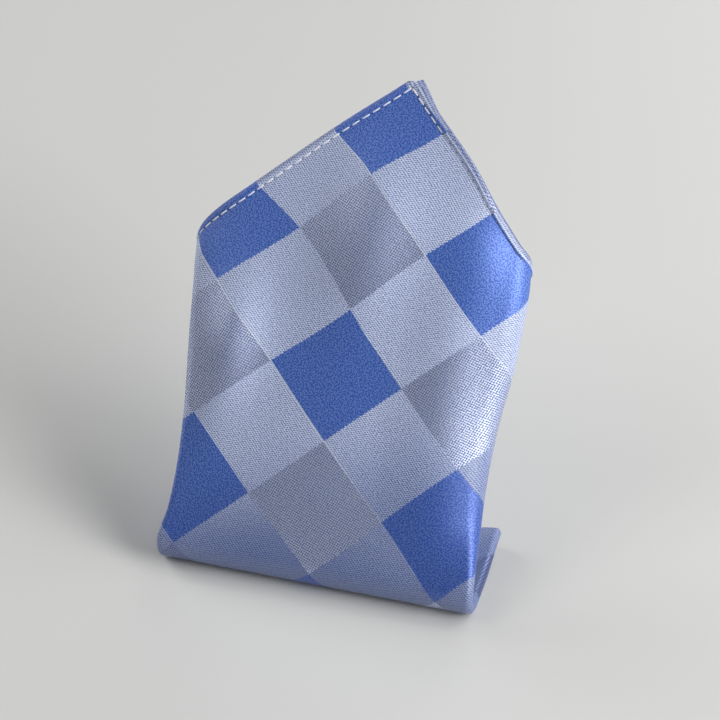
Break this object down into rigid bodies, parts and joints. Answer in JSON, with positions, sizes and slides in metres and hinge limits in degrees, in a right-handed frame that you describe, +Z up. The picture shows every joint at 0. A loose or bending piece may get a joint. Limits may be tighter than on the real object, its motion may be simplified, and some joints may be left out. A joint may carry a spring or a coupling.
{
  "type": "pocket square",
  "caption": "Hemmed square of checked satin cloth folded to a pointed strip, standing on its turned-back lower end, for display or a jacket's breast pocket.",
  "frame": {"origin": "middle of the box that holds the cloth, at the surface it stands on", "axes": "+Z up, the folded front faces -Y and leans back towards +Y, +X to the right as seen from the front"},
  "size_m": [0.0962, 0.0784, 0.125],
  "materials": {
    "cloth": "satin"
  },
  "bodies": {
    "root": {"pocket_square": "cloth"}
  },
  "joints": []
}
